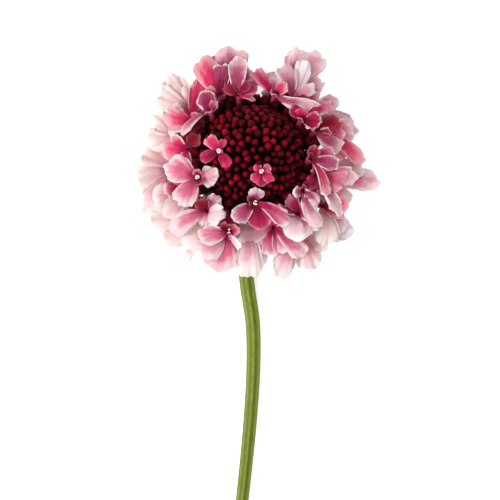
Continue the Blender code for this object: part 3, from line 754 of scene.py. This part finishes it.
def allLobes(spec, rng):
    # the listed lobes, then lobes in the middle of the widest gaps until there are five;
    # each comes with its place, the angle round the mouth
    lobes = []
    for x, y, level, width, paint, own in spec["lobes"]:
        lobe = {**lobeStyle, **drawn(listedRanges, rng), "paint": paint, "tip": seen(x, y, level)}
        lobe.update(width=width * floret["fullness"], ruffle=width * lobe["ruffle"])
        lobe.update(own)
        way = lobe["tip"] - spec["throat"]
        lobe["place"] = math.atan2(way @ spec["across"], way @ spec["out"])
        lobes.append(lobe)
    while len(lobes) < floret["lobes"]:
        places = np.sort([lobe["place"] for lobe in lobes])
        gaps = np.diff(np.append(places, places[0] + 2 * np.pi))
        widest = int(np.argmax(gaps))
        lobes.append(fillingLobe(spec, places[widest] + gaps[widest] / 2, rng))
    return lobes


def openTube(tube, look, top):  # a tube that is open at both ends, its faces outwards
    return part(toRow(tube), gridFaces(*tube.shape[:2], wrap=True, turned=True), look, top=top)


def corollaTube(spec):
    # circles along a Bezier curve from foot to throat, widening into the mouth's own rim
    leave = spec["foot"] + spec["radial"] * spec["run"]
    arrive = spec["throat"] - unit(spec["face"] + 0.5 * spec["radial"]) * floret["arrival"]
    t = np.linspace(0, 1, floret["tubeRows"])
    path = bezier(spec["foot"], leave, arrive, spec["throat"], t)
    radii = spec["tube"] + (spec["mouth"] - spec["tube"]) * smooth(t, floret["mouthStarts"], 1.0)
    tube = sweep(path, radii, floret["tubeCols"], spec["across"] + 0.001 * spec["radial"])
    last = tube[-1] - spec["throat"]
    tube[-1] = mouthRim(spec, np.arctan2(last @ spec["across"], last @ spec["out"]))
    # its value rises from the foot, painted dark as shade under the lobes, to the throat
    return openTube(tube, look=1, top=np.repeat(smooth(t, 0.0, 0.8), floret["tubeCols"]))


stamen = {
    "threadRadius": 0.06,
    "rise": (0.7, 1.3), "spread": (0.3, 0.7),  # place of its end, as shares of the mouth's radius
    "capsuleRadius": 0.15, "halfLength": 0.34,
}


def stamens(spec, rng):
    # threads on Bezier curves that rise from the throat, each with a pale capsule across its end, whose
    # radius follows the root of 1 - t^2
    made, face = [], spec["face"]
    for k in range(spec["stamens"]):
        away = mouthWay(spec, 2 * np.pi * (k + rng.uniform(-0.2, 0.2)) / spec["stamens"] + 0.6)
        rise = rng.uniform(*stamen["rise"]) * spec["mouth"]
        end = spec["throat"] + away * spec["mouth"] * rng.uniform(*stamen["spread"]) + face * rise
        t = np.linspace(0, 1, 6)
        thread = bezier(spec["throat"] - face * 0.8, spec["throat"] + away * 0.2, end - face * 0.5, end, t)
        side = unit(np.cross(away, face)) + 0.01 * away
        made.append(openTube(sweep(thread, stamen["threadRadius"], 5, side), look=2, top=0.7))
        lay = unit(np.cross(face, away) + 0.5 * away * rng.uniform(-1, 1))
        t = np.linspace(-1, 1, 7)
        radii = stamen["capsuleRadius"] * np.sqrt(1.02 - t**2)
        capsule = sweep(end + lay * t[:, None] * stamen["halfLength"], radii, 7, face)
        made.append(closedPart(capsule[None], rng.uniform(0.6, 1.0), look=2, turned=True))
    return made


def floretParts(spec, rng):
    # lobes in the order of their places, each on its own share of the mouth's rim, then tube and stamens
    lobes = sorted(allLobes(spec, rng), key=lambda lobe: lobe["place"] % (2 * np.pi))
    shares = around(len(lobes))
    first = np.mean([lobe["place"] % (2 * np.pi) - share for lobe, share in zip(lobes, shares)])
    made = [lobeSurface(lobe, spec, first + share, rng) for lobe, share in zip(lobes, shares)]
    return made + [corollaTube(spec)] + stamens(spec, rng)


def makeFlorets():  # one piece for each open floret, numbered within its row
    counts = dict.fromkeys(rowStyles, 0)
    materials = [looks["petal"], looks["calyx_and_painted_shade"], looks["anther"]]
    for index, (row, throat, lobes) in enumerate(florets):
        counts[row] += 1
        spec = floretSpec(row, throat, lobes)
        if f"{row}_{counts[row]}" not in floret["open"]:
            spec.update(mouth=floret["closedMouth"], stamens=0)
        node = f"{spec['node']}_{counts[row]}"
        parts = floretParts(spec, np.random.default_rng(floret["seed"] + index))
        buildPiece(f"corolla_{node}", parts, materials, [node], floret["thickness"])


dome = {
    "radius": 10.8, "height": 8.8, "centre": 4.0,  # the skin that the closed florets stand on
    # then the skin goes on out to a shelf and in again to the foot behind the head, as (radius, level)
    "under": ((12.2, 3.6), (12.8, 2.0), (12.4, 0.4), (11.0, -1.2), (8.2, -2.2), (6.2, -2.6), (4.2, -3.0),
              (2.4, -3.3)),
    "rows": 16, "cols": 40,
    "seed": 7,
}
bud = {
    "count": 258, "lastAngle": 97.0, "jitter": 0.004,  # of the spiral that they stand on
    "clearing": 1.9,  # room round a floret that stands open on the dome
    "size": (0.97, 0.97, 1.35), "stand": 1.3,  # half its width and length, and its middle over the skin
    "lean": 0.13, "scale": (0.82, 1.12), "stretch": (0.86, 1.12), "shade": (0.6, 1.05),
    "topLarger": 0.1,  # how much larger those at the top are
    "ribs": 4, "groove": 0.05, "dimple": 0.08,
    "rows": 7, "cols": 8,
}
collar = {
    "count": 84,
    # its three rings: how far out from the skin's edge, level, and lean in degrees
    "rings": ((2.1, 5.6, 52), (1.9, 1.6, 80), (3.6, 3.4, 50)),
    "size": (1.45, 1.45, 2.3), "stand": 0.8, "scale": (0.85, 1.15), "shade": (0.55, 1.1),
    "groove": 0.25, "dimple": 0.3,
}
bristle = {
    "count": 420, "lastAngle": 88.0, "jitter": 0.02,
    "radius": 0.11, "length": (1.3, 2.6), "sunk": 0.2, "lean": 0.22, "shade": 0.6,
    "rows": 4, "cols": 3,
    "seed": 21,
}


def spiral(style, rng):
    # golden-angle spiral over the dome from its top to the last angle, with even steps of the cosine:
    # base point and outward direction of each place
    count, jitter = style["count"], style["jitter"]
    i = np.arange(count)
    level = 1 - (1 - math.cos(math.radians(style["lastAngle"]))) * (i + 0.5) / count
    level = np.clip(level + rng.normal(0, jitter, count), -0.2, 1)
    turn = i * np.pi * (3 - math.sqrt(5)) + rng.normal(0, jitter * 3, count)
    flat = np.stack([np.cos(turn), np.sin(turn)], -1) * np.sqrt(1 - level**2)[:, None]
    flat = flat + rng.normal(0, jitter * 4, (count, 2)) * (1 - level[:, None])
    base = np.column_stack([flat * dome["radius"], dome["centre"] + dome["height"] * level])
    return base, unit(np.column_stack([flat / dome["radius"], level / dome["height"]]))


def framesFor(outward, rng):  # three directions for each place: two across its outward one, turned at random
    turn = rng.uniform(0, 6.3, len(outward))
    side = unit(np.cross(outward, np.array([0.2, 0.1, 1.0])))
    other = np.cross(outward, side)
    c, s = np.cos(turn)[:, None], np.sin(turn)[:, None]
    return np.stack([side * c + other * s, other * c - side * s, outward], 1)


def budShape(groove, dimple):
    # an egg in polar form, alpha from its tip and phi round it: soft ribs as the cosine of phi, grooves
    # between them that meet in a dimple at the tip, and a painted shade: a painted highlight at the tip and
    # on the ribs, falling to painted shade towards the foot, where the buds shade each other
    alpha, phi = np.linspace(0.12, np.pi - 0.2, bud["rows"])[:, None], around(bud["cols"])[None, :]
    rib = np.abs(np.cos(bud["ribs"] * phi / 2)) ** 0.7
    wide = np.sin(alpha) ** 0.9 * (1 - groove * (1 - rib) * np.sin(alpha))
    tall = np.cos(alpha) - dimple * bell(alpha, 0.4) - 0.5 * groove * (1 - rib) * fade(alpha, 1.0)
    shade = np.clip(np.cos(alpha) * 0.5 + 0.5, 0, 1) * (0.75 + 0.25 * rib)
    return np.stack([wide * np.cos(phi), wide * np.sin(phi), tall], -1), shade


def crowd(shape, shade, frames, places, sizes, shades, look, turned=False):
    # a closed copy of the shape at each place, scaled by its sizes, set in its frame and shaded
    grids = places[:, None, None] + np.einsum("nrcp,npk->nrck", shape * sizes[:, None, None], frames)
    return closedPart(grids, shade * shades[:, None, None], look, turned)


def closedBuds(rng):  # closed florets on the spiral, but for the clearings round the open ones
    base, outward = spiral(bud, rng)
    feet = [floretSpec(row, throat)["foot"] for row, throat, _ in florets if row == "disc"]
    keep = np.all([np.linalg.norm(base - foot, axis=1) > bud["clearing"] for foot in feet], axis=0)
    base, outward = base[keep], outward[keep]
    count = len(base)
    outward = unit(outward + rng.normal(0, bud["lean"], (count, 3)))
    frames = framesFor(outward, rng)
    larger = 1 + bud["topLarger"] * (1 - np.arange(count) / count)[:, None]
    sizes = rng.uniform(*bud["scale"], (count, 1)) * larger * np.array(bud["size"])
    sizes = sizes * rng.uniform(*bud["stretch"], (count, 3))
    shades = rng.uniform(*bud["shade"], count)
    shape, shade = budShape(bud["groove"], bud["dimple"])
    return crowd(shape, shade, frames, base + outward * bud["stand"], sizes, shades, look=0)


def collarBuds(rng):  # rings of half-open florets round the rim, long and dark, leaning outwards
    count = collar["count"]
    order = np.arange(count)
    out, level, lean = np.array(collar["rings"])[order % len(collar["rings"])].T
    turn = 2 * np.pi * (order + rng.uniform(-0.3, 0.3, count)) / count
    out = dome["radius"] + out + rng.uniform(-0.3, 0.3, count)
    level = level + rng.uniform(-0.6, 0.6, count)
    lean = np.radians(lean + rng.uniform(-10, 10, count))
    base = np.stack([out * np.cos(turn), out * np.sin(turn), level], -1)
    outward = np.stack([np.cos(turn) * np.sin(lean), np.sin(turn) * np.sin(lean), np.cos(lean)], -1)
    sizes = rng.uniform(*collar["scale"], (count, 1)) * np.array(collar["size"])
    frames = framesFor(outward, rng)
    shades = rng.uniform(*collar["shade"], count)
    shape, shade = budShape(collar["groove"], collar["dimple"])
    return crowd(shape, shade, frames, base + outward * collar["stand"], sizes, shades, look=0)


def domeSkin():  # a half ellipsoid and the profile under it, turned round the head's axis
    alpha, phi = np.linspace(0.02, np.pi / 2, dome["rows"]), around(dome["cols"])
    under = np.array(dome["under"])
    radius = np.append(dome["radius"] * np.sin(alpha), under[:, 0])[:, None]
    level = np.append(dome["centre"] + dome["height"] * np.cos(alpha), under[:, 1])[:, None]
    skin = np.stack([radius * np.cos(phi), radius * np.sin(phi), level * np.ones_like(phi)], -1)
    # 0 on the cap: near-black, the dark of the bristles and painted shade of the gaps between the buds; then
    #               lighter and greener down the profile to the foot
    shade = np.append(np.zeros(dome["rows"]), np.linspace(0.2, 0.9, len(under)))
    return closedPart(skin[None], shade[:, None], look=1)


def bristles(rng):  # spikes between the closed florets, whose radius falls evenly with their height t
    base, outward = spiral(bristle, rng)
    count = len(base)
    outward = unit(outward + rng.normal(0, bristle["lean"], (count, 3)))
    frames = framesFor(outward, rng)
    t, turn = np.linspace(0, 1, bristle["rows"])[:, None], around(bristle["cols"])[None, :]
    spike = np.stack([np.cos(turn) * (1.02 - t), np.sin(turn) * (1.02 - t), t * np.ones_like(turn)], -1)
    thick = np.full((count, 2), bristle["radius"])
    sizes = np.column_stack([thick, rng.uniform(*bristle["length"], count)])
    shades = np.full(count, bristle["shade"])
    return crowd(spike, t, frames, base - outward * bristle["sunk"], sizes, shades, look=2, turned=True)


def makeDome():  # closed florets, collar, skin and bristles, which grew as one
    rng = np.random.default_rng(dome["seed"])
    parts = [closedBuds(rng), collarBuds(rng), domeSkin(), bristles(np.random.default_rng(bristle["seed"]))]
    materials = [looks["closed_bud"], looks["dome_skin"], looks["bristle"]]
    buildPiece("closed_floret_dome", parts, materials, ["pincushion"])


bract = {
    "count": 9, "first": 0.35,  # and where the first stands, as a share of the step between them
    "foot": 4.0, "start": -3.3,  # how far out they start, and level
    "length": 13.0, "lengths": (-1, 1),
    "width": 5.2, "bow": (-0.8, 0.8),
    "droop": 3.0, "droops": (0.7, 1.1),
    "edgeRise": 0.35, "ripple": 0.12, "ripples": 9.0,
    "thickness": 0.35,
    "rows": 15, "cols": 9,
    "seed": 300,
}


def makeBracts():
    # a blade that swells as a sine and narrows to a point, higher at its edges than along the middle,
    # bowed sideways and drooping as powers of its length
    u = np.linspace(0, 1, bract["rows"])[:, None]
    v = np.linspace(-1, 1, bract["cols"])[None, :]
    half = bract["width"] / 2 * (0.5 + 0.5 * np.sin(np.pi * np.clip(u * 1.05, 0, 1)) ** 0.8) * (1.02 - u**2.5)
    top = np.clip(0.35 + 0.5 * bell(v, 0.18) + 0.3 * u, 0, 1)
    for index in range(bract["count"]):
        rng = np.random.default_rng(bract["seed"] + index)
        reach = bract["foot"] + (bract["length"] + rng.uniform(*bract["lengths"])) * u
        side = half * v + rng.uniform(*bract["bow"]) * u**2
        level = bract["start"] - bract["droop"] * rng.uniform(*bract["droops"]) * u**1.5
        level = level + bract["edgeRise"] * np.abs(v) ** 1.3 * (1 - u)
        level = level + bract["ripple"] * np.sin(bract["ripples"] * u + index) * np.abs(v) * u
        turn = 2 * np.pi * (index + bract["first"]) / bract["count"]
        x, y = reach * math.cos(turn) - side * math.sin(turn), reach * math.sin(turn) + side * math.cos(turn)
        blade = part(toRow(np.stack([x, y, level], -1)), gridFaces(*x.shape), top=top)
        name = f"bract_{index + 1}"
        buildPiece(f"leaf_{name}", [blade], [looks["bract_green"]], [name], bract["thickness"])


stem = {
    "neckRadius": 2.08, "cutRadius": 1.4, "length": 126.0,
    "headHeight": 13.6,  # the head's middle over the surface
    "swell": 0.7, "swellRows": 5.0,  # how much wider it starts, falling by e over so many rows
    "ribs": 8, "ribDepth": 0.035, "rows": 170, "cols": 48,
    # its line: how far behind the head's middle on the flower's axis, then from the head's middle x, y,
    # and the height of its underside over the surface
    "behind": (3.3, 6.5),
    "line": [
        (-0.2, -4.2, 3.2), (-0.9, -9.5, 1.0), (-1.4, -18.0, 0.1), (-1.4, -29.0, 0.0), (0.2, -41.0, 0.0),
        (0.3, -53.0, 0.0), (-0.6, -67.0, 0.0), (-2.3, -84.0, 0.0), (-4.5, -104.0, 0.0), (-6.6, -126.0, 0.0),
    ],
    "stops": [
        (0.0, (0.058, 0.092, 0.006)), (0.5, (0.138, 0.184, 0.014)), (0.8, (0.250, 0.285, 0.030)),
        (1.0, (0.380, 0.410, 0.070)),
    ],
    "streaks": 0.9, "specks": 0.2,  # how far each noise moves the colour between the stops
    "mapLength": 20,  # of its own map, on which the way round is 1
    "roughness": 0.45, "bump": 0.3,
    "sockets": {"Specular IOR Level": 0.25, "Subsurface Weight": 0.15,
                "Subsurface Radius": (0.5 * mm, 1.0 * mm, 0.3 * mm)},
}


def curveThrough(points, count):  # Catmull-Rom curve through the points, evenly stepped
    p = np.vstack([2 * points[0] - points[1], points, 2 * points[-1] - points[-2]])
    along = np.linspace(0, len(points) - 1, count)
    k = np.minimum(along.astype(int), len(points) - 2)
    t = (along - k)[:, None]
    a, b, c, d = p[k], p[k + 1], p[k + 2], p[k + 3]
    return 0.5 * (2 * b + (c - a) * t + (2 * a - 5 * b + 4 * c - d) * t**2 + (3 * b - a - 3 * c + d) * t**3)


def stemLook():
    # greens across the ribs by the value top, lighter on the crests and darker in the grooves as painted
    # shade, with long streaks by the stem's own map, and specks
    made, tree = newLook("stem_green")
    place = addNode(tree, "ShaderNodeTexCoord").outputs
    streak = noise(tree, place["UV"], scale=2.0, detail=4.0, roughness=0.6, stretch=(24.0, 1.6, 1.0))
    speck = noise(tree, place["Object"], scale=900.0, detail=3.0, roughness=0.6)
    drift = maths(tree, "ADD", swing(tree, streak, stem["streaks"]), swing(tree, speck, stem["specks"]))
    colour = ramp(tree, maths(tree, "ADD", value(tree, "top"), drift, clamp=True), stem["stops"])
    bump = bumped(tree, maths(tree, "ADD", streak, speck), stem["bump"])
    finishLook(tree, colour, stem["roughness"], bump, **stem["sockets"])
    return made


def stemRadius(gone):  # from the neck's radius to the cut's, evenly with the share of the length gone
    return stem["neckRadius"] + (stem["cutRadius"] - stem["neckRadius"]) * gone


def stemRibs(turn):  # 1 on the crests, less by a cosine between them
    return 1 + stem["ribDepth"] * (np.cos(stem["ribs"] * turn) - 1)


def makeStem():
    # a ribbed circle carried along the line, swelling into the head and closed by a flat cut
    points = [headAxes[2] * -back for back in stem["behind"]]
    for x, y, lift in stem["line"]:
        points.append(np.array([x, y, lift + stemRadius(-y / stem["length"]) - stem["headHeight"]]))
    path = curveThrough(np.array(points), stem["rows"])
    radii = stemRadius(np.clip(-path[:, 1] / stem["length"], 0, 1))
    radii = radii + stem["swell"] * fade(np.arange(stem["rows"]), stem["swellRows"])
    tube = sweep(path, radii, stem["cols"], np.array([1.0, 0.0, 0.0]), stemRibs)
    points, faces = closed(tube[None], turned=True)
    turn, along = around(stem["cols"]) / (2 * np.pi), np.linspace(0, 1, stem["rows"])
    # lighter on the rib crests and darker in the grooves, a painted shade of the grooves; darker towards the
    # cut
    top = 0.65 + 0.25 * np.cos(stem["ribs"] * 2 * np.pi * turn)[None, :] - 0.3 * along[:, None]
    top = np.append(top, (0.5, 0.9))
    uv = np.stack(np.meshgrid(turn, along * stem["mapLength"]), -1).reshape(-1, 2)
    uv = np.vstack([uv, [[0.5, 0], [0.5, stem["mapLength"]]]])  # the poles' own places on the map
    stalk = part(points * mm + headPlace, faces, uv=uv, top=top)
    buildPiece("stalk", [stalk], [stemLook()], ["stem"])


makeFlorets()
print("florets made:", len(florets))
makeDome()
print("dome made")
makeBracts()
makeStem()
print("bracts and stem made")

studio = {
    "floorHalf": 1.5,  # in metres
    "floorColour": (0.96, 0.96, 0.96, 1), "floorRoughness": 0.9, "floorGlow": 0.34, "ambient": 0.66,
    # name, place from the head's middle in metres, size and power
    "lamps": (("key", (-0.70, -0.25, 0.80), 0.6, 8.2), ("fill", (0.3, 0.2, 1.0), 1.0, 2.0)),
    "camera": (-0.5, -22.0, 600.0),  # from the head's middle
    "span": 125.0,  # how wide the view is at the head
}


def makeFloor():  # a flat white square round the row's origin
    side = studio["floorHalf"]
    mesh = bpy.data.meshes.new("surface")
    corners = [(-side, -side, 0), (side, -side, 0), (side, side, 0), (-side, side, 0)]
    mesh.from_pydata(corners, [], [(0, 1, 2, 3)])
    made, tree = newLook("surface_white")
    place = addNode(tree, "ShaderNodeTexCoord").outputs["Object"]
    grain = noise(tree, place, scale=600.0, detail=3.0, roughness=0.5)
    bump = bumped(tree, grain, strength=0.05, distance=0.05)
    glow = {"Emission Color": (1, 1, 1, 1), "Emission Strength": studio["floorGlow"]}
    finishLook(tree, studio["floorColour"], studio["floorRoughness"], bump, **glow)
    mesh.materials.append(made)
    floor = bpy.data.objects.new("surface", mesh)
    bpy.context.scene.collection.objects.link(floor)


def makeStudio():  # an even white world, two lamps aimed at the head, and a camera straight over it
    scene = bpy.context.scene
    scene.world = bpy.data.worlds.new("studio")
    scene.world.use_nodes = True
    background = scene.world.node_tree.nodes["Background"].inputs
    background["Color"].default_value = (1, 1, 1, 1)
    background["Strength"].default_value = studio["ambient"]
    for name, place, size, power in studio["lamps"]:
        lamp = bpy.data.objects.new(name, bpy.data.lights.new(name, "AREA"))
        lamp.data.size = size
        lamp.data.energy = power
        lamp.location = np.array(place) + headPlace
        lamp.rotation_euler = Vector([-x for x in place]).to_track_quat("-Z", "Y").to_euler()
        scene.collection.objects.link(lamp)
    eye = bpy.data.objects.new("camera", bpy.data.cameras.new("camera"))
    eye.location = np.array(studio["camera"]) * mm + headPlace
    eye.data.lens = eye.data.sensor_width * studio["camera"][2] / studio["span"]
    eye.data.clip_start = 0.01
    scene.collection.objects.link(eye)
    scene.camera = eye
    scene.view_settings.view_transform = "Standard"
    scene.view_settings.look = "Medium High Contrast"


makeFloor()
makeStudio()
print("studio made")

bpy.context.view_layer.update()
